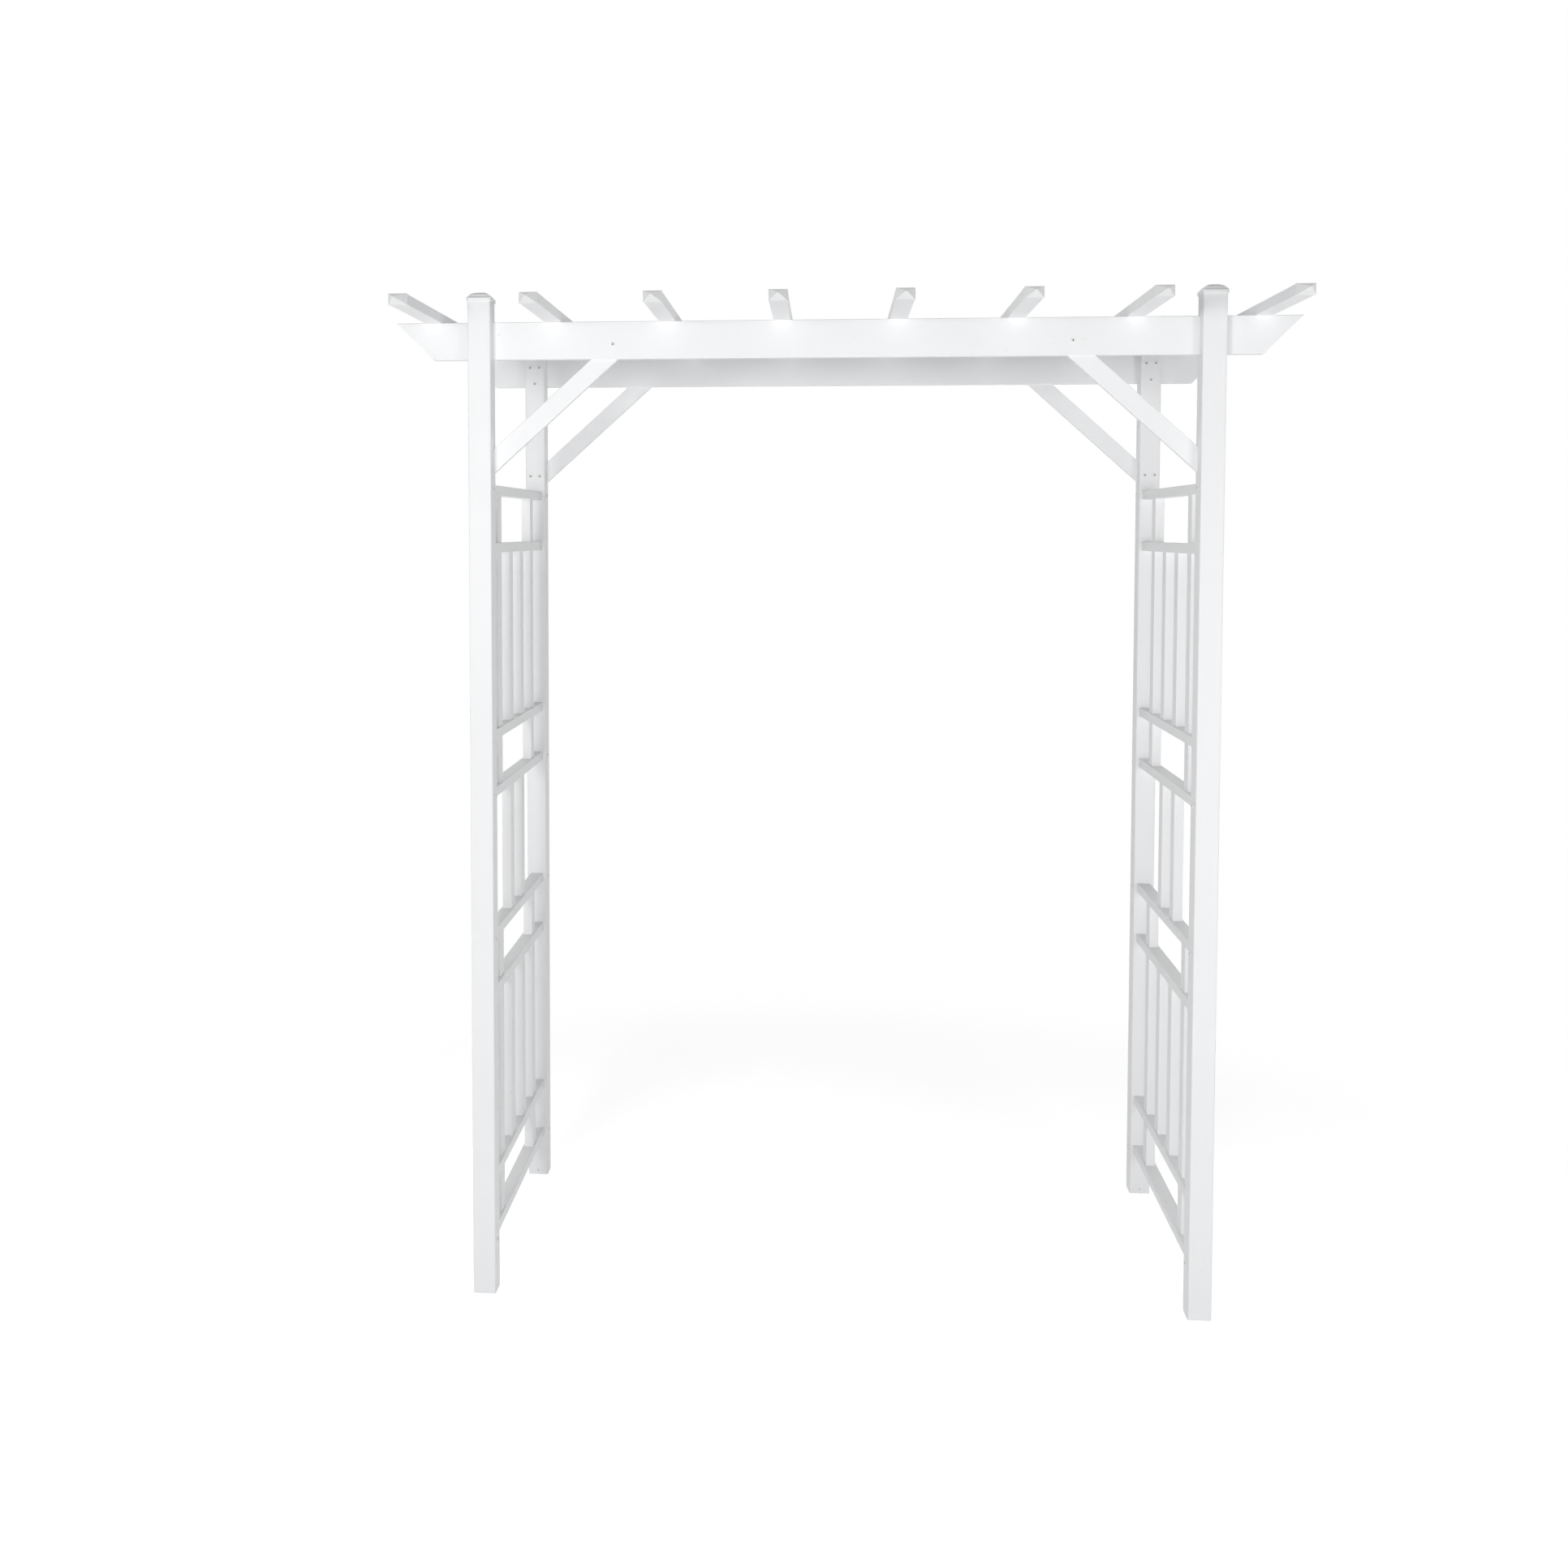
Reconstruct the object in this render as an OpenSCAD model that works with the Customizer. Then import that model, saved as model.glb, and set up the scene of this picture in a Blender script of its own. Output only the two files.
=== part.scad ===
// Garden arbor in white vinyl profile: four capped posts, two crossing beams on
// diagonal braces, a roof of flat rafters and two open side panels.
// X runs across the front, Y from front to back, Z up.
// The origin is on the floor, midway between the four posts.

/* [Overall] */
// Width over the outer faces of the posts
width = 1632; // [1200:1:2400]
// Depth over the outer faces of the posts
depth = 738; // [500:1:1200]
// Headroom, floor to the underside of the beams
headroom = 2098; // [1700:1:2600]

/* [Posts] */
// Side of the square post tube
post_w = 50.8; // [45:0.1:70]
// Wall of the post tube
post_wall = 2.6; // [1.8:0.1:4]
// Radius of the long outer edges of a post
post_r = 3.2; // [1:0.1:6]
// Height of a post above the beams
post_rise = 49.5; // [30:0.5:150]
// Diameter of the fixing hole near a post's foot
foot_hole_d = 4.5; // [2:0.1:8]
// Height of the fixing hole above the floor
foot_hole_z = 11; // [6:0.5:40]

/* [Post caps] */
// Wall of a post cap
cap_wall = 2.2; // [1.6:0.1:3]
// Depth of a cap's skirt down the post
cap_skirt = 6; // [4:0.5:20]
// Height of the taper at the lower edge of the skirt
cap_taper = 1.5; // [1:0.5:3]
// Wall left at the lower edge of the skirt
cap_lip = 0.8; // [0.5:0.1:1]
// Thickness of a cap over the end of its post
cap_top = 1; // [1:0.5:5]
// Height of the sloping shoulder above the skirt
cap_shoulder = 5; // [2:0.1:8]
// Inward run of the shoulder
cap_slope = 4.8; // [3:0.1:9]
// Width of the flat ledge between the shoulder and the pillow
cap_ledge = 0.8; // [0.4:0.1:2]
// Height of the pillow's upright edge
cap_edge = 1.8; // [0.5:0.1:4]
// Rise of the pillow above its upright edge
cap_rise = 8; // [4:0.5:15]

/* [Beams] */
// Height of a beam
beam_h = 82; // [60:0.5:120]
// Thickness of a beam, front to back
beam_t = 22.2; // [20:0.1:30]
// Wall of the beam profile
beam_wall = 2.2; // [1.5:0.1:3.5]
// How far a beam stands proud of the posts' rear faces
beam_proud = 0; // [0:0.5:12]
// Reach of a beam's upper edge past the post's outer face
beam_reach = 165; // [135:1:300]
// Angle of the beam ends from upright
beam_cut = 45; // [0:1:50]

/* [Braces] */
// Width of a brace, seen from the front
brace_w = 40; // [25:0.5:60]
// Play between a brace's side and the inner wall of the beam
brace_play = 0.9; // [0.6:0.1:3]
// Wall of the brace profile
brace_wall = 1.6; // [1.2:0.1:2.5]
// Distance along the beam from the post's face to the brace's centre line
brace_run = 248; // [150:1:400]
// Angle of a brace above the horizontal
brace_angle = 42; // [35:0.5:50]
// How far the foot of a brace goes into its post
foot_tenon = 44; // [20:0.5:47]
// How far the head of a brace goes into its beam
head_tenon = 45; // [20:0.5:70]

/* [Rafters] */
// Distance from a post's inner face to the centre of the nearest rafter
rafter_inset = 134; // [60:1:180]
// Distance from a post's outer face to the centre of the outermost rafter
rafter_outboard = 84; // [50:1:110]
// Width of a rafter, lying flat
rafter_w = 38.1; // [30:0.1:45]
// Thickness of a rafter
rafter_t = 22.2; // [18:0.1:30]
// Wall of the rafter profile
rafter_wall = 1.8; // [1.2:0.1:3]
// Reach of a rafter past the posts' front and back faces
rafter_reach = 266; // [120:1:400]

/* [Rafter tips] */
// Height of a tip's four-sided point
tip_rise = 42; // [20:0.5:60]
// How far a tip's rim stands proud of the rafter all round
tip_proud = 0.5; // [0:0.1:2]
// Length of the straight rim behind the point
tip_rim = 2; // [1:0.5:10]
// Length of the plug inside the rafter
tip_plug = 14; // [6:0.5:40]
// Wall of a tip
tip_wall = 1.2; // [0.8:0.1:2]

/* [Side panels] */
// Thickness of a rail, top to bottom
rail_t = 22.2; // [18:0.1:30]
// Width of a rail, across the panel
rail_w = 32; // [28:0.1:42]
// Wall of the rail profile
rail_wall = 1.8; // [1.2:0.1:2.5]
// Distance from the end of a rail to the far face of the post that it goes into
rail_stop = 12.8; // [5:0.1:38]
// Height of the lowest rail's upper face above the floor
rail_low = 127; // [60:1:300]
// Distance from the lowest visible point of a brace down to the top rail
rail_drop = 24; // [10:0.5:80]
// Opening between the two rails of a pair
pair_gap = 108.5; // [60:0.5:130]
// Opening at the middle of the panel
middle_gap = 302; // [150:1:350]
// Width of a baluster, across the panel
baluster_w = 22.2; // [16:0.1:23]
// Depth of a baluster, along the panel
baluster_d = 38.1; // [20:0.1:45]
// Wall of the baluster profile
baluster_wall = 1.6; // [1.2:0.1:2.5]

/* [Fits] */
// Clearance all round a piece in its slot or sleeve
slot_gap = 0.3; // [0.2:0.05:0.6]
// Radius of the long edges of beams, braces, rafters, rails and balusters
edge_r = 1.5; // [0.8:0.1:2.4]

/* [Hidden] */

// How far a cutter reaches past the wall that it opens
over = 1;
vinyl = [0.95, 0.95, 0.95];

// Heights on a post
beam_bottom = headroom;
beam_top = beam_bottom + beam_h;
post_h = beam_top + post_rise;

// Post centres, and the clear distances between posts
post_x = (width - post_w) / 2;
post_y = (depth - post_w) / 2;
clear_w = width - 2 * post_w;
clear_d = depth - 2 * post_w;

// A beam lies in open notches in the rear of its posts
beam_y = (post_w - beam_t) / 2 + beam_proud;

// A brace fits between the walls of its beam. Its lower edge meets the post this far
// below the beam, and its foot is cut level just above the top rail.
brace_t = beam_t - 2 * (beam_wall + brace_play);
brace_drop = brace_run * tan(brace_angle) + brace_w / 2 / cos(brace_angle);
foot_z = beam_bottom - brace_drop - rail_drop + slot_gap;

// Rails are counted from the top; every value is the height of a rail's upper face.
// The two tall openings share what is left between the top rail and the lowest.
pair_step = pair_gap + rail_t;
middle_step = middle_gap + rail_t;
rail_high = beam_bottom - brace_drop - rail_drop;
tall_step = (rail_high - rail_low - 4 * pair_step - middle_step) / 2;
rail_steps = [0, pair_step, tall_step, pair_step, middle_step, pair_step, tall_step, pair_step];
function fallen(n) = n == 0 ? 0 : rail_steps[n] + fallen(n - 1);
function rail_top(n) = rail_high - fallen(n - 1);

// A rail goes most of the way through its posts, under the feet of the braces
rail_tenon = post_w - rail_stop;

// Each run is a pair of rails that a baluster stands between, the upper rail first
OUTER_RUNS = [[1, 4], [5, 8]];
INNER_RUNS = [[2, 3], [4, 5], [6, 7]];
baluster_step = (clear_d + baluster_d) / 5;
outer_y = 1.5 * baluster_step;
inner_y = 0.5 * baluster_step;

// Rafter centres: six share the width between the posts and one stands outside each post
rafter_pitch = (clear_w - 2 * rafter_inset) / 5;
rafter_outer_x = width / 2 + rafter_outboard;
function rafter_x(n) =
    n == 1 ? -rafter_outer_x :
    n == 8 ? rafter_outer_x :
    (n - 4.5) * rafter_pitch;
rafter_end = depth / 2 + rafter_reach;
tip_w = rafter_w + 2 * tip_proud;
tip_t = rafter_t + 2 * tip_proud;
plug_w = rafter_w - 2 * (rafter_wall + slot_gap);
plug_t = rafter_t - 2 * (rafter_wall + slot_gap);

// Post cap: a square skirt, a sloping shoulder, a narrow ledge and a pillow top
cap_in = post_w + 2 * slot_gap;
cap_w = cap_in + 2 * cap_wall;
shoulder_w = cap_w - 2 * cap_slope;
pillow_w = shoulder_w - 2 * cap_ledge;
pillow_r = (pow(pillow_w / 2, 2) + pow(cap_rise, 2)) / (2 * cap_rise);

// A rectangle with rounded corners, centred on the origin
module rounded(w, t, r) {
    square([w - 2 * r, t], center = true);
    square([w, t - 2 * r], center = true);
    for (x = [-1, 1], y = [-1, 1])
        translate([x * (w / 2 - r), y * (t / 2 - r)])
            circle(r, $fn = 32);
}

// The section of an extruded hollow profile
module hollow(w, t, wall, r) {
    difference() {
        rounded(w, t, r);
        square([w - 2 * wall, t - 2 * wall], center = true);
    }
}

// Carries a corner's pieces to one of the four posts. At the corner, +X points to
// the middle of the arbor and +Y to the rear.
module at_post(side, row) {
    translate([side * post_x, row * post_y, 0])
        mirror([side > 0 ? 1 : 0, 0, 0])
            children();
}

// Runs its children's section along a brace, from inside the post to inside the beam
module along_brace() {
    reach = brace_run / cos(brace_angle) + foot_tenon + brace_w;
    intersection() {
        translate([post_w / 2 + brace_run, beam_y, beam_bottom])
            rotate([0, 90 - brace_angle, 0])
                translate([0, 0, -reach])
                    linear_extrude(reach + 2 * head_tenon + brace_w)
                        children();
        translate([post_w / 2 - foot_tenon, beam_y - beam_t, foot_z])
            cube([width, 2 * beam_t, beam_bottom + head_tenon - foot_z]);
    }
}

// The space that a brace needs in the walls it passes through
module brace_slot() {
    along_brace()
        square([brace_w + 2 * slot_gap, brace_t + 2 * slot_gap], center = true);
}

// The notch for a beam, through both sides and the rear of a post
module beam_notch() {
    translate([-post_w, beam_y - beam_t / 2 - slot_gap, beam_bottom - slot_gap])
        cube([2 * post_w, post_w, beam_h + 2 * slot_gap]);
}

// Turns what points to +Y towards the post at the other end of the side panel
module to_panel(row) {
    mirror([0, row > 0 ? 1 : 0, 0])
        children();
}

// The mortise for one rail
module rail_slot(n) {
    z = rail_top(n) - rail_t - slot_gap;
    translate([-rail_w / 2 - slot_gap, 0, z])
        cube([rail_w + 2 * slot_gap, post_w, rail_t + 2 * slot_gap]);
}

// The small round hole near a post's foot
module foot_hole() {
    translate([0, post_w / 2 - post_wall - over, foot_hole_z])
        rotate([-90, 0, 0])
            cylinder(d = foot_hole_d, h = post_wall + 2 * over, $fn = 32);
}

// A post tube, notched for its beam and routed for its brace and eight rails
module post(side, row) {
    color(vinyl)
        at_post(side, row)
            difference() {
                linear_extrude(post_h)
                    hollow(post_w, post_w, post_wall, post_r);
                beam_notch();
                brace_slot();
                to_panel(row) {
                    foot_hole();
                    for (n = [1:8])
                        rail_slot(n);
                }
            }
}

// The cap's outline, which is the same from the front and from the side
module cap_outline() {
    lip_w = cap_in + 2 * cap_lip;
    shoulder_z = cap_top + cap_shoulder;
    translate([0, -cap_skirt])
        polygon([
            [-lip_w / 2, 0],
            [lip_w / 2, 0],
            [cap_w / 2, cap_taper],
            [cap_w / 2, cap_skirt + cap_top],
            [shoulder_w / 2, cap_skirt + shoulder_z],
            [-shoulder_w / 2, cap_skirt + shoulder_z],
            [-cap_w / 2, cap_skirt + cap_top],
            [-cap_w / 2, cap_taper]
        ]);
    intersection() {
        translate([0, shoulder_z + cap_edge + cap_rise - pillow_r])
            circle(pillow_r, $fn = 96);
        translate([-pillow_w / 2, cap_top])
            square([pillow_w, shoulder_z + cap_edge + cap_rise]);
    }
}

// A post cap: two crossed outlines meet in its mitred top
module cap(side, row) {
    color(vinyl)
        translate([side * post_x, row * post_y, post_h])
            difference() {
                intersection() {
                    rotate([90, 0, 0])
                        linear_extrude(2 * cap_w, center = true)
                            cap_outline();
                    rotate([90, 0, 90])
                        linear_extrude(2 * cap_w, center = true)
                            cap_outline();
                    translate([0, 0, -cap_w])
                        linear_extrude(2 * cap_w)
                            rounded(cap_w, cap_w, post_r + cap_wall);
                }
                translate([0, 0, -cap_skirt - over])
                    linear_extrude(cap_skirt + over)
                        rounded(cap_in, cap_in, post_r);
            }
}

// The long prism that a beam is cut from, mitred at both ends
module beam_blank(inset, section_r) {
    top = width / 2 + beam_reach - inset / cos(beam_cut) + inset * tan(beam_cut);
    low = top - (beam_h - 2 * inset) * tan(beam_cut);
    intersection() {
        translate([0, 0, beam_bottom + beam_h / 2])
            rotate([90, 0, 90])
                linear_extrude(2 * top, center = true)
                    rounded(beam_t - 2 * inset, beam_h - 2 * inset, section_r);
        translate([0, 0, beam_bottom + inset])
            rotate([90, 0, 0])
                linear_extrude(2 * beam_t, center = true)
                    polygon([
                        [-low, 0],
                        [low, 0],
                        [top, beam_h - 2 * inset],
                        [-top, beam_h - 2 * inset]
                    ]);
    }
}

// A hollow beam, open below where the two braces enter
module beam(row) {
    color(vinyl)
        difference() {
            translate([0, row * post_y + beam_y, 0])
                difference() {
                    beam_blank(0, edge_r);
                    beam_blank(beam_wall, edge_r / 2);
                }
            for (side = [-1, 1])
                at_post(side, row)
                    brace_slot();
        }
}

// A diagonal brace between a post and its beam
module brace(side, row) {
    color(vinyl)
        at_post(side, row)
            along_brace()
                hollow(brace_w, brace_t, brace_wall, edge_r);
}

// Lays a section along Y, flat on the beams
module along_rafter(n, length) {
    translate([rafter_x(n), 0, beam_top + rafter_t / 2])
        rotate([90, 0, 0])
            linear_extrude(length, center = true)
                children();
}

// One rafter tube
module rafter(n) {
    color(vinyl)
        along_rafter(n, 2 * rafter_end)
            hollow(rafter_w, rafter_t, rafter_wall, edge_r);
}

// A four-sided point on a straight rim. The point is up and the rim starts at the origin.
module point(w, t, rim, rise, r) {
    linear_extrude(rim)
        rounded(w, t, r);
    translate([0, 0, rim])
        intersection() {
            rotate([90, 0, 0])
                linear_extrude(t, center = true)
                    polygon([[-w / 2, 0], [w / 2, 0], [0, rise]]);
            rotate([90, 0, 90])
                linear_extrude(w, center = true)
                    polygon([[-t / 2, 0], [t / 2, 0], [0, rise]]);
        }
}

// One hollow tip: a plug that fits inside the rafter, and a point that covers its end
module tip() {
    inner_rise = tip_rise - tip_wall / sin(atan(tip_t / 2 / tip_rise));
    difference() {
        union() {
            translate([0, 0, -tip_plug])
                linear_extrude(tip_plug)
                    rounded(plug_w, plug_t, edge_r / 2);
            point(tip_w, tip_t, tip_rim, tip_rise, edge_r);
        }
        translate([0, 0, -tip_plug - over])
            linear_extrude(tip_plug + over)
                square([plug_w - 2 * tip_wall, plug_t - 2 * tip_wall], center = true);
        point(plug_w - 2 * tip_wall, plug_t - 2 * tip_wall, tip_rim, inner_rise - tip_rim, 0);
    }
}

// The pointed tips in one end of all the rafters
module rafter_tips(row) {
    color(vinyl)
        for (n = [1:8])
            translate([rafter_x(n), row * rafter_end, beam_top + rafter_t / 2])
                rotate([row > 0 ? -90 : 90, 0, 0])
                    tip();
}

// Cuts one rail for a baluster: through both walls, or only the wall that it enters by
module baluster_hole(n, run, y) {
    up = n == run[0] ? 0 : rail_t;
    down = n == run[1] ? 0 : rail_t;
    if (n >= run[0] && n <= run[1])
        translate([0, y, rail_top(n) - rail_t / 2 + (up - down) / 2])
            cube([baluster_w + 2 * slot_gap, baluster_d + 2 * slot_gap, up + down], center = true);
}

// One rail of a side panel, from inside the front post to inside the back one
module rail(side, n) {
    color(vinyl)
        translate([side * post_x, 0, 0])
            difference() {
                translate([0, 0, rail_top(n) - rail_t / 2])
                    rotate([90, 0, 0])
                        linear_extrude(clear_d + 2 * rail_tenon, center = true)
                            hollow(rail_w, rail_t, rail_wall, edge_r);
                for (y = [-1, 1]) {
                    for (run = OUTER_RUNS)
                        baluster_hole(n, run, y * outer_y);
                    for (run = INNER_RUNS)
                        baluster_hole(n, run, y * inner_y);
                }
            }
}

// The balusters at one distance from the panel's middle. Each stands on the floor of
// its lower rail and stops just under the roof of its upper one.
module balusters(side, runs, y_at) {
    color(vinyl)
        for (run = runs, y = [-1, 1]) {
            foot = rail_top(run[1]) - rail_t + rail_wall;
            head = rail_top(run[0]) - rail_wall - slot_gap;
            translate([side * post_x, y * y_at, foot])
                linear_extrude(head - foot)
                    hollow(baluster_w, baluster_d, baluster_wall, edge_r);
        }
}

post(-1, -1);  // post_front_left
post(1, -1);  // post_front_right
post(-1, 1);  // post_back_left
post(1, 1);  // post_back_right
cap(-1, -1);  // cap_front_left
cap(1, -1);  // cap_front_right
cap(-1, 1);  // cap_back_left
cap(1, 1);  // cap_back_right
beam(-1);  // beam_front
beam(1);  // beam_back
brace(-1, -1);  // brace_front_left
brace(1, -1);  // brace_front_right
brace(-1, 1);  // brace_back_left
brace(1, 1);  // brace_back_right
rafter(1);  // rafter_1
rafter(2);  // rafter_2
rafter(3);  // rafter_3
rafter(4);  // rafter_4
rafter(5);  // rafter_5
rafter(6);  // rafter_6
rafter(7);  // rafter_7
rafter(8);  // rafter_8
rafter_tips(-1);  // rafter_tips_front
rafter_tips(1);  // rafter_tips_back
rail(-1, 1);  // rail_left_1
rail(-1, 2);  // rail_left_2
rail(-1, 3);  // rail_left_3
rail(-1, 4);  // rail_left_4
rail(-1, 5);  // rail_left_5
rail(-1, 6);  // rail_left_6
rail(-1, 7);  // rail_left_7
rail(-1, 8);  // rail_left_8
rail(1, 1);  // rail_right_1
rail(1, 2);  // rail_right_2
rail(1, 3);  // rail_right_3
rail(1, 4);  // rail_right_4
rail(1, 5);  // rail_right_5
rail(1, 6);  // rail_right_6
rail(1, 7);  // rail_right_7
rail(1, 8);  // rail_right_8
balusters(-1, OUTER_RUNS, outer_y);  // balusters_left_outer
balusters(-1, INNER_RUNS, inner_y);  // balusters_left_inner
balusters(1, OUTER_RUNS, outer_y);  // balusters_right_outer
balusters(1, INNER_RUNS, inner_y);  // balusters_right_inner
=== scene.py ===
"""White vinyl garden arbor: its finishes, its screws, and the studio it stands in.

Everything is in metres. X runs across the front, Y from front to back and Z up. The
origin is on the floor, midway between the four posts.
"""

import logging
import math
from collections.abc import Callable, Iterable
from dataclasses import dataclass, field
from enum import Enum
from typing import Any, Union

import bmesh
import bpy
from mathutils import Matrix, Vector


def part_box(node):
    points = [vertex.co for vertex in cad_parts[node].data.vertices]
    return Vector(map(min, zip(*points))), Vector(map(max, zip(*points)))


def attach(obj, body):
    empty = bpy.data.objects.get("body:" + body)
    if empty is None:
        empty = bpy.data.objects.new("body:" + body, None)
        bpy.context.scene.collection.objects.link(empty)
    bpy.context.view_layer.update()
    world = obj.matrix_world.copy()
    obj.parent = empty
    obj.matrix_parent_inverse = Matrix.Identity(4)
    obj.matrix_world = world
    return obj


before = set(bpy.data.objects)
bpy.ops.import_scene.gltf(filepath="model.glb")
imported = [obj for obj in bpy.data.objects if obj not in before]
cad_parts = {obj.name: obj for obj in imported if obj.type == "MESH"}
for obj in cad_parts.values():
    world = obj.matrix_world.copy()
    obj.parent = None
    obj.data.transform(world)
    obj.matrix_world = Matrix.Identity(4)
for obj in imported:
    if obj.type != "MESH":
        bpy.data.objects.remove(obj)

LOG = logging.getLogger("arbor")

BRACE_SLOPE = math.radians(42)
GOLDEN_TURN = 2.399
MATERIAL_OUTPUT = "ShaderNodeOutputMaterial"
PRINCIPLED = "ShaderNodeBsdfPrincipled"
WHITE = (1.0, 1.0, 1.0)

Triple = tuple[float, float, float]
Term = Union["Wire", float]
Setting = Union["Wire", float, tuple[float, ...]]


class Side(Enum):
    """The left or right half of the arbor, seen from the front."""

    LEFT = -1
    RIGHT = 1


class Row(Enum):
    """The front or back pair of posts."""

    FRONT = -1
    BACK = 1


class Wire:
    """One output of a shader node. Python operators on it add Math nodes."""

    def __init__(self, bench: "Bench", socket: bpy.types.NodeSocket) -> None:
        """Wraps a socket.

        Args:
            bench: The node tree that the socket belongs to.
            socket: The output socket.
        """
        self.bench = bench
        self.socket = socket

    def _math(self, operation: str, first: Term, second: Term) -> "Wire":
        """Adds a Math node.

        Args:
            operation: The Math node's operation.
            first: The first value.
            second: The second value.

        Returns:
            The node's result.
        """
        return self.bench.add("ShaderNodeMath", {"operation": operation}, {0: first, 1: second})

    def __add__(self, other: Term) -> "Wire":
        """Returns self + other."""
        return self._math("ADD", self, other)

    def __radd__(self, other: Term) -> "Wire":
        """Returns other + self."""
        return self._math("ADD", other, self)

    def __sub__(self, other: Term) -> "Wire":
        """Returns self - other."""
        return self._math("SUBTRACT", self, other)

    def __rsub__(self, other: Term) -> "Wire":
        """Returns other - self."""
        return self._math("SUBTRACT", other, self)

    def __mul__(self, other: Term) -> "Wire":
        """Returns self * other."""
        return self._math("MULTIPLY", self, other)

    def __rmul__(self, other: Term) -> "Wire":
        """Returns other * self."""
        return self._math("MULTIPLY", other, self)

    def __or__(self, other: Term) -> "Wire":
        """Returns the larger of self and other."""
        return self._math("MAXIMUM", self, other)

    def __abs__(self) -> "Wire":
        """Returns the size of self without its sign."""
        return self._math("ABSOLUTE", self, 0.0)

    def step(self, low: float, high: float) -> "Wire":
        """Turns the value into a mask with soft shoulders.

        Args:
            low: Where the mask is 0.
            high: Where the mask is 1.

        Returns:
            The mask.
        """
        return self.bench.add(
            "ShaderNodeMapRange",
            {"interpolation_type": "SMOOTHSTEP"},
            {"Value": self, "From Min": low, "From Max": high},
        )


class Bench:
    """A node tree under work."""

    def __init__(self, tree: bpy.types.NodeTree) -> None:
        """Empties a node tree and takes it up.

        Args:
            tree: The tree of a material or of the world.
        """
        self.tree = tree
        self.tree.nodes.clear()

    def add(
        self,
        kind: str,
        settings: dict[str, Any] | None = None,
        inputs: dict[str | int, Setting] | None = None,
        output: str | int = 0,
    ) -> Wire:
        """Adds one node of any type.

        Args:
            kind: The node's type.
            settings: Its properties, such as a Math node's operation, which are set first.
            inputs: Values or wires by socket name or number.
            output: Name or number of the output to return.

        Returns:
            The chosen output.
        """
        node = self.tree.nodes.new(kind)
        for key, value in (settings or {}).items():
            setattr(node, key, value)
        for key, value in (inputs or {}).items():
            slot = node.inputs[key]
            if isinstance(value, Wire):
                self.tree.links.new(value.socket, slot)
            elif slot.type == "RGBA":
                slot.default_value = (*value, 1.0)
            else:
                slot.default_value = value
        return Wire(self, node.outputs[output])

    def finish(self, kind: str, surface: Wire) -> None:
        """Adds the output node.

        Args:
            kind: The output node's type.
            surface: The shader that it takes.
        """
        node = self.tree.nodes.new(kind)
        self.tree.links.new(surface.socket, node.inputs["Surface"])

    def coordinates(self, output: str = "Object") -> Wire:
        """Returns one output of a Texture Coordinate node."""
        return self.add("ShaderNodeTexCoord", output=output)

    def along(self, place: Wire, direction: Triple) -> Wire:
        """Measures a vector along a direction.

        Args:
            place: The vector.
            direction: A unit direction.

        Returns:
            The distance.
        """
        return self.add(
            "ShaderNodeVectorMath", {"operation": "DOT_PRODUCT"}, {0: place, 1: direction}, "Value"
        )

    def gather(self, x: Term, y: Term, z: Term) -> Wire:
        """Joins three values into a vector.

        Args:
            x: The first value.
            y: The second value.
            z: The third value.

        Returns:
            The vector.
        """
        return self.add("ShaderNodeCombineXYZ", inputs={0: x, 1: y, 2: z})

    def noise(self, place: Wire, scale: float, detail: float = 2.0) -> Wire:
        """Adds a noise pattern.

        Args:
            place: Where it is read.
            scale: How many cells fit in one unit.
            detail: How many finer layers it has.

        Returns:
            Values around 0.5.
        """
        return self.add(
            "ShaderNodeTexNoise", inputs={"Vector": place, "Scale": scale, "Detail": detail}
        )

    def mix(self, low: Setting, high: Setting, mask: Wire) -> Wire:
        """Mixes two colours.

        Args:
            low: The colour where the mask is 0.
            high: The colour where the mask is 1.
            mask: The mask.

        Returns:
            The mixed colour.
        """
        return self.add(
            "ShaderNodeMix", {"data_type": "RGBA"}, {0: mask, 6: low, 7: high}, output=2
        )

    def bump(self, height: Wire, depth: float, under: Wire | None = None) -> Wire:
        """Raises a surface by a pattern.

        Args:
            height: The pattern, from 0 to 1.
            depth: How high a value of 1 stands.
            under: A bump that lies under this one.

        Returns:
            The bent normal.
        """
        inputs: dict[str | int, Setting] = {"Height": height, "Distance": depth}
        if under is not None:
            inputs["Normal"] = under
        return self.add("ShaderNodeBump", inputs=inputs)


def new_material(name: str) -> tuple[bpy.types.Material, Bench]:
    """Makes an empty material.

    Args:
        name: Its name.

    Returns:
        The material and the bench on which its nodes are set out.
    """
    material = bpy.data.materials.new(name)
    material.use_nodes = True
    return material, Bench(material.node_tree)


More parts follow.
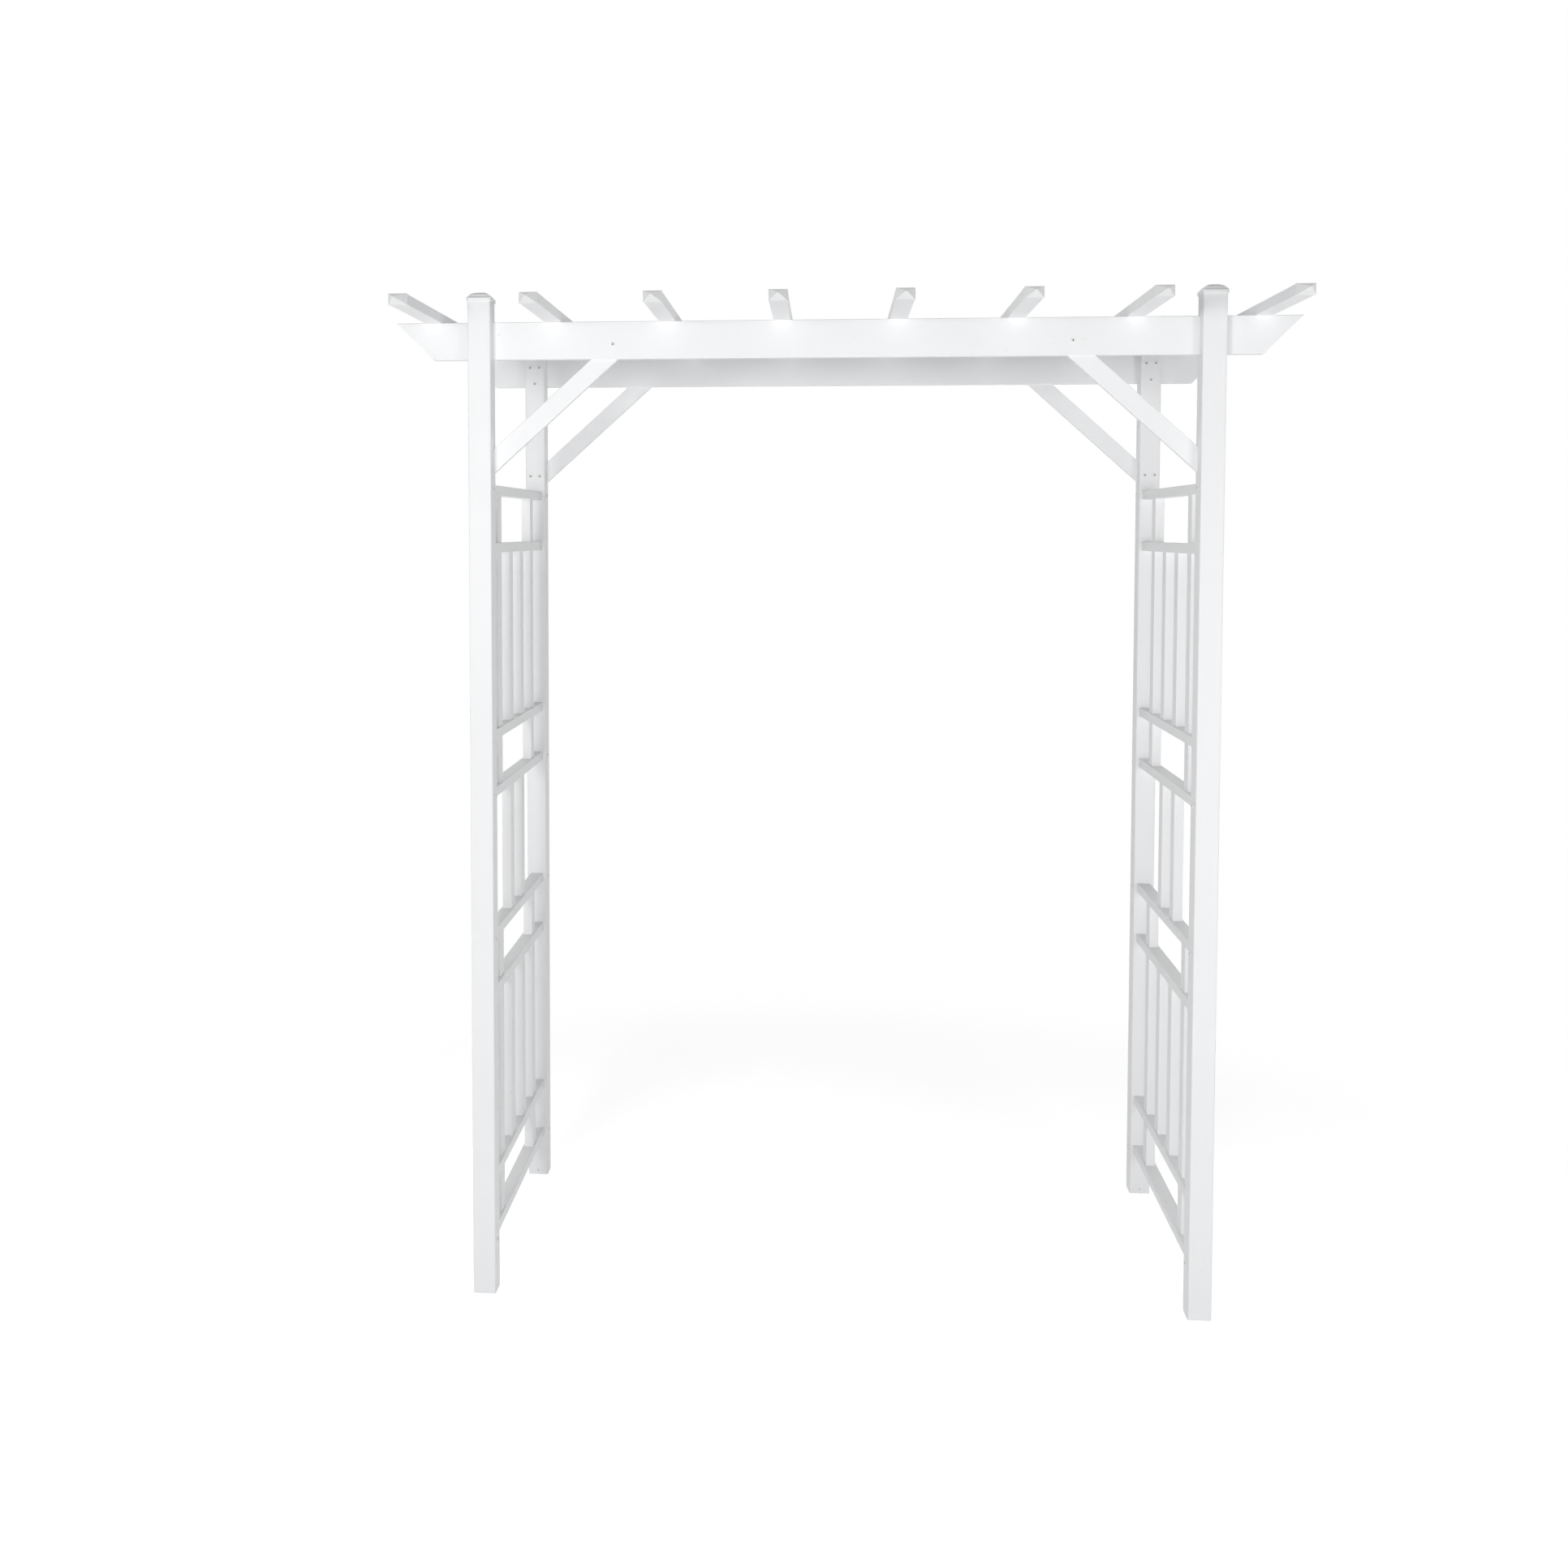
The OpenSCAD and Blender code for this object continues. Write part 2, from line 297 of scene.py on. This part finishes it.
@dataclass(frozen=True)
class ExtrudedVinyl:
    """Satin white vinyl, drawn through a die in one direction and sawn to length."""

    name: str
    drawn: Triple
    across: Triple
    colour: Triple = (0.924, 0.93, 0.938)
    shade: Triple = (0.905, 0.91, 0.92)
    scuff: Triple = (0.80, 0.80, 0.79)
    sawn: Triple = (0.90, 0.90, 0.89)
    rough: float = 0.33
    sawn_rough: float = 0.62
    ior: float = 1.47
    specular: float = 0.32
    line_pitch: float = 0.0011
    line_depth: float = 0.000012
    sway_depth: float = 0.00016
    grain_depth: float = 0.00005

    def make(self) -> bpy.types.Material:
        """Sets out the material's nodes.

        Returns:
            The material.
        """
        material, bench = new_material(self.name)
        place = bench.coordinates()
        third = Vector(self.drawn).cross(Vector(self.across))
        length = bench.along(place, self.drawn)
        width = bench.along(place, self.across)
        height = bench.along(place, tuple(third))

        fine = 1.0 / self.line_pitch
        lines = bench.noise(bench.gather(length * 1.5, width * fine, height * fine), 1.0, 1.0)
        streaks = bench.noise(bench.gather(length * 0.9, width * 90.0, height * 90.0), 1.0)
        sway = bench.noise(bench.gather(length * 5.0, width * 22.0, height * 22.0), 1.0, 1.0)
        clouds = bench.noise(place, 4.5, 3.0)
        grit = bench.noise(place, 260.0, 1.0)
        specks = bench.noise(place, 95.0, 1.0).step(0.775, 0.81)

        ends = abs(bench.along(bench.coordinates("Normal"), self.drawn)).step(0.9, 0.98)
        kerf = bench.noise(bench.gather(length * 40.0, width * 1400.0, height * 160.0), 1.0, 1.0)

        body = bench.mix(self.colour, self.shade, clouds.step(0.42, 0.78) * 0.55)
        body = bench.mix(body, self.scuff, specks * 0.5)
        body = bench.mix(body, self.sawn, ends)
        rough = self.rough + streaks * 0.08 + clouds * 0.06 + specks * 0.2
        rough = rough + ends * (self.sawn_rough - rough)
        normal = bench.bump(sway, self.sway_depth)
        normal = bench.bump(lines, self.line_depth, normal)
        grain = ends * kerf + (1.0 - ends) * grit * 0.12
        normal = bench.bump(grain, self.grain_depth, normal)
        shader = bench.add(
            PRINCIPLED,
            inputs={
                "Base Color": body,
                "Roughness": rough,
                "Normal": normal,
                "IOR": self.ior,
                "Specular IOR Level": self.specular,
            },
        )
        bench.finish(MATERIAL_OUTPUT, shader)
        return material


@dataclass(frozen=True)
class MouldedPlastic:
    """Glossy white moulded plastic with a faint orange peel."""

    name: str = "moulded_white"
    colour: Triple = (0.924, 0.93, 0.938)
    shade: Triple = (0.90, 0.905, 0.91)
    speck: Triple = (0.82, 0.82, 0.81)
    rough: float = 0.27
    ior: float = 1.49
    specular: float = 0.36
    peel_pitch: float = 0.0016
    peel_depth: float = 0.00002
    sink_depth: float = 0.00012

    def make(self) -> bpy.types.Material:
        """Sets out the material's nodes.

        Returns:
            The material.
        """
        material, bench = new_material(self.name)
        place = bench.coordinates()
        peel = bench.noise(place, 1.0 / self.peel_pitch, 1.0)
        sink = bench.noise(place, 28.0, 1.0)
        clouds = bench.noise(place, 9.0, 2.0)
        specks = bench.noise(place, 150.0, 1.0).step(0.77, 0.81)
        body = bench.mix(self.colour, self.shade, clouds.step(0.4, 0.75) * 0.6)
        body = bench.mix(body, self.speck, specks * 0.4)
        normal = bench.bump(sink, self.sink_depth)
        normal = bench.bump(peel, self.peel_depth, normal)
        shader = bench.add(
            PRINCIPLED,
            inputs={
                "Base Color": body,
                "Roughness": self.rough + clouds * 0.1 + specks * 0.15,
                "Normal": normal,
                "IOR": self.ior,
                "Specular IOR Level": self.specular,
            },
        )
        bench.finish(MATERIAL_OUTPUT, shader)
        return material


@dataclass(frozen=True)
class ScrewEnamel:
    """White enamel baked on a screw head, thinner in scattered blots."""

    name: str = "screw_enamel"
    colour: Triple = (0.86, 0.86, 0.85)
    thin: Triple = (0.66, 0.66, 0.65)
    rough: float = 0.26
    blot_depth: float = 0.00006

    def make(self) -> bpy.types.Material:
        """Sets out the material's nodes.

        Returns:
            The material.
        """
        material, bench = new_material(self.name)
        place = bench.coordinates()
        blots = bench.noise(place, 420.0, 3.0)
        body = bench.mix(self.colour, self.thin, blots.step(0.55, 0.72) * 0.8)
        shader = bench.add(
            PRINCIPLED,
            inputs={
                "Base Color": body,
                "Roughness": self.rough + blots * 0.2,
                "Normal": bench.bump(blots, self.blot_depth),
            },
        )
        bench.finish(MATERIAL_OUTPUT, shader)
        return material


@dataclass(frozen=True)
class DriverRecess:
    """The dark finish inside the cross of a screw head: bare steel with a little grime, kept near black as
    painted shade for the shadow in the recess.
    """

    name: str = "screw_recess"
    # Both colours are painted shade: near black to stand in for the shadow inside the recess, not only the
    # steel's own colour.
    steel_and_painted_shade: Triple = (0.055, 0.055, 0.058)
    grime_and_painted_shade: Triple = (0.02, 0.02, 0.022)
    metallic: float = 0.6
    rough: float = 0.45

    def make(self) -> bpy.types.Material:
        """Sets out the material's nodes.

        Returns:
            The material.
        """
        material, bench = new_material(self.name)
        place = bench.coordinates()
        grain = bench.noise(place, 900.0, 2.0)
        shader = bench.add(
            PRINCIPLED,
            inputs={
                "Base Color": bench.mix(self.steel_and_painted_shade, self.grime_and_painted_shade, grain.step(0.4, 0.65)),
                "Metallic": self.metallic,
                "Roughness": self.rough + grain * 0.25,
            },
        )
        bench.finish(MATERIAL_OUTPUT, shader)
        return material


@dataclass(frozen=True)
class StudioPaper:
    """Pale paper floor that looks white where it is lit, and keeps a soft shadow."""

    name: str = "studio_paper"
    colour: Triple = (0.95, 0.95, 0.95)
    fibres: Triple = (0.93, 0.93, 0.93)
    rough: float = 0.85
    specular: float = 0.1
    lift: float = 0.48
    near: float = 1.2
    far: float = 2.2

    def make(self) -> bpy.types.Material:
        """Sets out the material's nodes.

        Returns:
            The material.
        """
        material, bench = new_material(self.name)
        place = bench.coordinates()
        fibre = bench.noise(place, 300.0, 2.0)
        paper = bench.add(
            PRINCIPLED,
            inputs={
                "Base Color": bench.mix(self.colour, self.fibres, fibre.step(0.3, 0.8)),
                "Roughness": self.rough + fibre * 0.1,
                "Specular IOR Level": self.specular,
            },
        )
        emission = "ShaderNodeEmission"
        pale = bench.add(emission, inputs={"Color": WHITE, "Strength": self.lift})
        white = bench.add(emission, inputs={"Color": WHITE, "Strength": 1.0})
        lifted = bench.add("ShaderNodeAddShader", inputs={0: paper, 1: pale})
        reach = bench.add("ShaderNodeVectorMath", {"operation": "LENGTH"}, {0: place}, "Value")
        blend = "ShaderNodeMixShader"
        shown = bench.add(blend, inputs={0: reach.step(self.near, self.far), 1: lifted, 2: white})
        mixed = bench.add(blend, inputs={0: direct_view(bench), 1: paper, 2: shown})
        bench.finish(MATERIAL_OUTPUT, mixed)
        return material


def direct_view(bench: Bench) -> Wire:
    """Masks the rays that show a backdrop: direct, mirrored or through glass.

    Args:
        bench: The node tree that the mask is for.

    Returns:
        A mask that is 1 on those rays.
    """
    path = "ShaderNodeLightPath"
    return (
        bench.add(path, output="Is Camera Ray")
        | bench.add(path, output="Is Glossy Ray")
        | bench.add(path, output="Is Transmission Ray")
    )


class Hand:
    """Modelling steps on the active mesh."""

    @staticmethod
    def let_go() -> None:
        """Deselects every object."""
        bpy.ops.object.select_all(action="DESELECT")

    @staticmethod
    def take(*objects: bpy.types.Object) -> None:
        """Selects only these objects, with the first one active.

        Args:
            objects: The objects.
        """
        Hand.let_go()
        for each in objects:
            each.select_set(True)
        bpy.context.view_layer.objects.active = objects[0]

    @staticmethod
    def edit(thing: bpy.types.Object) -> None:
        """Opens an object in edit mode with nothing selected.

        Args:
            thing: The object.
        """
        Hand.take(thing)
        bpy.ops.object.mode_set(mode="EDIT")
        bpy.ops.mesh.select_mode(type="FACE")
        bpy.ops.mesh.select_all(action="DESELECT")

    @staticmethod
    def close() -> None:
        """Leaves edit mode."""
        bpy.ops.object.mode_set(mode="OBJECT")

    @staticmethod
    def pick(thing: bpy.types.Object, test: Callable[[bmesh.types.BMFace], bool]) -> None:
        """Selects faces by a test.

        Args:
            thing: The object in edit mode.
            test: Says which faces to select.
        """
        bpy.ops.mesh.select_all(action="DESELECT")
        shape = bmesh.from_edit_mesh(thing.data)
        for face in shape.faces:
            face.select_set(test(face))
        bmesh.update_edit_mesh(thing.data)


@dataclass(frozen=True)
class ScrewSpot:
    """Where a screw head sits."""

    seat: Triple
    facing: Triple


@dataclass
class PanHeadScrew:
    """A small enamelled pan head with a cross recess."""

    enamel: bpy.types.Material
    # The recess finish is painted shade: near black for the shadow inside the cross.
    recess: bpy.types.Material
    head_d: float = 0.0094
    head_h: float = 0.0027
    rim: float = 0.0015
    crown: float = 0.0003
    sunk: float = 0.00012
    cross_span: float = 0.0054
    cross_wing: float = 0.0018
    cross_depth: float = 0.0018
    cross_taper: float = 0.5
    smooth_under: float = 38.0
    turned: int = 0
    master: bpy.types.Object | None = field(default=None, init=False)

    def model(self) -> None:
        """Models the master head, facing up from the origin."""
        Hand.let_go()
        bpy.ops.mesh.primitive_cylinder_add(
            vertices=32,
            radius=self.head_d / 2,
            depth=self.head_h,
            location=(0, 0, self.head_h / 2 - self.sunk),
        )
        head = bpy.context.object
        head.data.materials.append(self.enamel)
        Hand.edit(head)
        Hand.pick(head, lambda face: face.normal.z > 0.9)
        bpy.ops.mesh.bevel(offset=self.rim, segments=5, profile=0.55, affect="EDGES")
        Hand.pick(head, lambda face: face.normal.z > 0.999)
        bpy.ops.mesh.inset(thickness=self.rim * 0.4)
        bpy.ops.transform.translate(value=(0, 0, self.crown))
        Hand.close()
        for turn in (0, 1):
            self._cut_wing(head, turn)
        Hand.take(head)
        bpy.ops.object.shade_smooth_by_angle(angle=math.radians(self.smooth_under))
        bpy.ops.object.transform_apply()
        head.name = "screw_master"
        self.master = head

    def _cut_wing(self, head: bpy.types.Object, turn: int) -> None:
        """Cuts one tapered slot of the cross.

        Args:
            head: The screw head.
            turn: 0 for the slot along X and 1 for the slot along Y.
        """
        top = self.head_h + self.crown - self.sunk
        bpy.ops.mesh.primitive_cube_add(size=1, location=(0, 0, top))
        wing = bpy.context.object
        # The slot's faces take the recess finish, which is painted shade.
        wing.data.materials.append(self.recess)
        Hand.edit(wing)
        bpy.ops.mesh.select_all(action="SELECT")
        size = (self.cross_span, self.cross_wing, 2 * self.cross_depth)
        if turn:
            size = (size[1], size[0], size[2])
        bpy.ops.transform.resize(value=size, center_override=(0, 0, top))
        Hand.pick(wing, lambda face: face.normal.z < -0.9)
        bpy.ops.transform.resize(value=(self.cross_taper, self.cross_taper, 1), center_override=(0, 0, top))
        Hand.close()
        Hand.take(head)
        cut = head.modifiers.new("cross", "BOOLEAN")
        cut.operation = "DIFFERENCE"
        cut.solver = "EXACT"
        cut.material_mode = "TRANSFER"
        cut.object = wing
        bpy.ops.object.modifier_apply(modifier=cut.name)
        bpy.data.objects.remove(wing)

    def drive(self, name: str, spots: Iterable[ScrewSpot]) -> bpy.types.Object:
        """Sets copies of the head at their places and joins them.

        Args:
            name: The name of the joined piece.
            spots: The places.

        Returns:
            The piece.
        """
        copies = []
        for spot in spots:
            copy = self.master.copy()
            copy.data = self.master.data.copy()
            bpy.context.scene.collection.objects.link(copy)
            self.turned += 1
            spin = Matrix.Rotation(self.turned * GOLDEN_TURN, 4, "Z")
            lean = Vector((0, 0, 1)).rotation_difference(Vector(spot.facing))
            copy.data.transform(Matrix.Translation(spot.seat) @ lean.to_matrix().to_4x4() @ spin)
            copies.append(copy)
        Hand.take(*copies)
        bpy.ops.object.join()
        piece = bpy.context.object
        piece.name = name
        piece.data.name = name
        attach(piece, "root")
        return piece

    def put_away(self) -> None:
        """Removes the master head."""
        bpy.data.objects.remove(self.master)


@dataclass
class Paintbox:
    """Each finish, made once."""

    upright: bpy.types.Material = field(init=False)
    crosswise: bpy.types.Material = field(init=False)
    lengthwise: bpy.types.Material = field(init=False)
    slanted: dict[Side, bpy.types.Material] = field(init=False)
    moulded: bpy.types.Material = field(init=False)

    def __post_init__(self) -> None:
        """Makes the finishes."""
        self.upright = ExtrudedVinyl("vinyl_upright", (0, 0, 1), (1, 0, 0)).make()
        self.crosswise = ExtrudedVinyl("vinyl_crosswise", (1, 0, 0), (0, 1, 0)).make()
        self.lengthwise = ExtrudedVinyl("vinyl_lengthwise", (0, 1, 0), (1, 0, 0)).make()
        self.slanted = {
            side: ExtrudedVinyl(
                f"vinyl_slanted_{side.name.lower()}",
                (-side.value * math.cos(BRACE_SLOPE), 0, math.sin(BRACE_SLOPE)),
                (0, 1, 0),
            ).make()
            for side in Side
        }
        self.moulded = MouldedPlastic().make()


def dress(node: str, finish: bpy.types.Material) -> None:
    """Gives a fixed part its finish.

    Args:
        node: The part's name.
        finish: The material.
    """
    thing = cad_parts[node]
    if not thing.material_slots:
        thing.data.materials.append(finish)
    for slot in thing.material_slots:
        slot.material = finish


@dataclass
class Posts:
    """Four square posts with their caps and the screws in them."""

    paint: Paintbox
    screw: PanHeadScrew
    beam_pair: float = 0.048
    beam_single: float = 0.006
    brace_pair: float = -0.235
    half_spread: float = 0.012
    screwed_rails: tuple[int, ...] = (1, 4, 5, 8)

    def build(self) -> None:
        """Dresses posts and caps and drives their screws."""
        for row in Row:
            for side in Side:
                place = f"{row.name.lower()}_{side.name.lower()}"
                dress(f"post_{place}", self.paint.upright)
                dress(f"cap_{place}", self.paint.moulded)
                piece = self.screw.drive(f"screws_post_{place}", self._spots(row, side))
                LOG.info("%s: %d faces", piece.name, len(piece.data.polygons))

    def _spots(self, row: Row, side: Side) -> list[ScrewSpot]:
        """Lists the screws of one post.

        Args:
            row: The post's row.
            side: The post's side.

        Returns:
            The places of its screws.
        """
        low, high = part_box(f"post_{row.name.lower()}_{side.name.lower()}")
        middle = (Vector(low) + Vector(high)) / 2
        beam_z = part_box(f"beam_{row.name.lower()}")[0][2]
        panel_y = high[1] if row is Row.FRONT else low[1]
        inner_x = high[0] if side is Side.LEFT else low[0]
        to_panel = (0, -row.value, 0)
        inward = (-side.value, 0, 0)
        spots = [ScrewSpot((middle.x, panel_y, beam_z + self.beam_single), to_panel)]
        for height in (self.beam_pair, self.brace_pair):
            for offset in (-self.half_spread, self.half_spread):
                spots.append(ScrewSpot((middle.x + offset, panel_y, beam_z + height), to_panel))
        for rail in self.screwed_rails:
            rail_low, rail_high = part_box(f"rail_{side.name.lower()}_{rail}")
            rail_z = (rail_low[2] + rail_high[2]) / 2
            spots.append(ScrewSpot((inner_x, middle.y, rail_z), inward))
        return spots


@dataclass
class BeamsAndBraces:
    """Two cross beams, each on a pair of braces, with a screw over each brace."""

    paint: Paintbox
    screw: PanHeadScrew
    from_post: float = 0.267
    above_edge: float = 0.032

    def build(self) -> None:
        """Dresses beams and braces and drives the screws in the beams."""
        for row in Row:
            beam = f"beam_{row.name.lower()}"
            dress(beam, self.paint.crosswise)
            low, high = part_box(beam)
            face_y = low[1] if row is Row.FRONT else high[1]
            spots = []
            for side in Side:
                dress(f"brace_{row.name.lower()}_{side.name.lower()}", self.paint.slanted[side])
                post_low, post_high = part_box(f"post_front_{side.name.lower()}")
                inner_x = post_high[0] if side is Side.LEFT else post_low[0]
                seat = (inner_x - side.value * self.from_post, face_y, low[2] + self.above_edge)
                spots.append(ScrewSpot(seat, (0, row.value, 0)))
            piece = self.screw.drive(f"screws_{beam}", spots)
            LOG.info("%s: %d faces", piece.name, len(piece.data.polygons))


@dataclass
class RafterRoof:
    """Eight flat rafters with moulded tips, each screwed to both beams."""

    paint: Paintbox
    screw: PanHeadScrew
    count: int = 8

    def build(self) -> None:
        """Dresses rafters and tips and drives the screws over the beams."""
        for number in range(1, self.count + 1):
            dress(f"rafter_{number}", self.paint.lengthwise)
        for row in Row:
            name = row.name.lower()
            dress(f"rafter_tips_{name}", self.paint.moulded)
            beam_low, beam_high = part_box(f"beam_{name}")
            beam_y = (beam_low[1] + beam_high[1]) / 2
            spots = []
            for number in range(1, self.count + 1):
                low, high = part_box(f"rafter_{number}")
                spots.append(ScrewSpot(((low[0] + high[0]) / 2, beam_y, high[2]), (0, 0, 1)))
            piece = self.screw.drive(f"screws_rafters_{name}", spots)
            LOG.info("%s: %d faces", piece.name, len(piece.data.polygons))


@dataclass
class SidePanels:
    """Two open panels of eight rails and ten balusters each."""

    paint: Paintbox
    rails: int = 8

    def build(self) -> None:
        """Dresses rails and balusters."""
        for side in Side:
            name = side.name.lower()
            for number in range(1, self.rails + 1):
                dress(f"rail_{name}_{number}", self.paint.lengthwise)
            for kind in ("outer", "inner"):
                dress(f"balusters_{name}_{kind}", self.paint.upright)
            LOG.info("side panel %s: %d rails", name, self.rails)


@dataclass(frozen=True)
class SoftBox:
    """A rectangular studio lamp."""

    name: str
    place: Triple
    aim: Triple
    width: float
    height: float
    power: float

    def hang(self) -> None:
        """Adds the lamp to the scene."""
        data = bpy.data.lights.new(self.name, "AREA")
        data.shape = "RECTANGLE"
        data.size = self.width
        data.size_y = self.height
        data.energy = self.power
        lamp = bpy.data.objects.new(self.name, data)
        lamp.location = self.place
        toward = Vector(self.aim) - Vector(self.place)
        lamp.rotation_euler = toward.to_track_quat("-Z", "Y").to_euler()
        bpy.context.scene.collection.objects.link(lamp)


@dataclass
class Studio:
    """Paper floor, soft lamps and a white surround."""

    floor_size: float = 16.0
    overhead: float = 0.1
    front: float = 0.28
    rear: float = 1.5
    rear_above: Triple = (0, 0.87, 0.5)
    lamps: tuple[SoftBox, ...] = (
        SoftBox("key", (-1.4, -3.9, 2.0), (0.0, 0.0, 1.5), 1.0, 0.6, 45.0),
        SoftBox("fill", (2.4, -3.4, 1.3), (0.0, 0.0, 1.3), 1.4, 1.6, 29.0),
        SoftBox("centre", (0.0, -4.6, 1.15), (0.0, 0.0, 1.15), 2.6, 1.9, 30.5),
        SoftBox("left", (-2.4, 0.0, 1.15), (0.0, 0.0, 1.15), 1.5, 1.9, 9.0),
        SoftBox("right", (2.4, 0.0, 1.15), (0.0, 0.0, 1.15), 1.5, 1.9, 5.0),
    )

    def build(self) -> None:
        """Lays the floor, hangs the lamps and lights the surround."""
        Hand.let_go()
        bpy.ops.mesh.primitive_plane_add(size=self.floor_size)
        floor = bpy.context.object
        floor.name = "studio_floor"
        floor.data.materials.append(StudioPaper().make())
        for lamp in self.lamps:
            lamp.hang()
        self._surround()
        bpy.context.scene.view_settings.view_transform = "Standard"

    def _surround(self) -> None:
        """Makes the world plain white to look at, and shaded as light."""
        world = bpy.data.worlds.new("studio")
        world.use_nodes = True
        bpy.context.scene.world = world
        bench = Bench(world.node_tree)
        sky = bench.coordinates("Generated")
        glow = bench.along(sky, (0, 0, 1)).step(0.0, 1.0) * self.overhead
        glow = glow + bench.along(sky, (0, -1, 0)).step(0.0, 1.0) * self.front
        glow = glow + bench.along(sky, self.rear_above).step(0.5, 1.0) * self.rear
        light = bench.add("ShaderNodeBackground", inputs={"Strength": glow})
        white = bench.add("ShaderNodeBackground", inputs={"Color": WHITE, "Strength": 1.0})
        shown = {0: direct_view(bench), 1: light, 2: white}
        mixed = bench.add("ShaderNodeMixShader", inputs=shown)
        bench.finish("ShaderNodeOutputWorld", mixed)


@dataclass
class Camera:
    """The camera in front of the arbor, a little left of its middle."""

    place: Triple = (-0.0262, -3.9216, 1.7192)
    pitch: float = -2.816
    roll: float = -0.03
    yaw: float = 4.591
    lens: float = 37.427
    shift_x: float = 0.0559
    shift_y: float = -0.1099
    sensor: float = 36.0
    reach: float = 60.0

    def set_up(self) -> None:
        """Adds the camera and makes it the scene's own."""
        data = bpy.data.cameras.new("camera")
        data.sensor_width = self.sensor
        data.lens = self.lens
        data.shift_x = self.shift_x
        data.shift_y = self.shift_y
        data.clip_end = self.reach
        camera = bpy.data.objects.new("camera", data)
        camera.location = self.place
        turn = (90.0 + self.pitch, self.roll, self.yaw)
        camera.rotation_euler = tuple(math.radians(angle) for angle in turn)
        bpy.context.scene.collection.objects.link(camera)
        bpy.context.scene.camera = camera


def main() -> None:
    """Builds the arbor's looks and its studio."""
    logging.basicConfig(level=logging.INFO, format="%(message)s")
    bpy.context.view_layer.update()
    Camera().set_up()
    paint = Paintbox()
    screw = PanHeadScrew(ScrewEnamel().make(), DriverRecess().make())
    screw.model()
    Posts(paint, screw).build()
    BeamsAndBraces(paint, screw).build()
    RafterRoof(paint, screw).build()
    SidePanels(paint).build()
    screw.put_away()
    Studio().build()


if __name__ == "__main__":
    main()
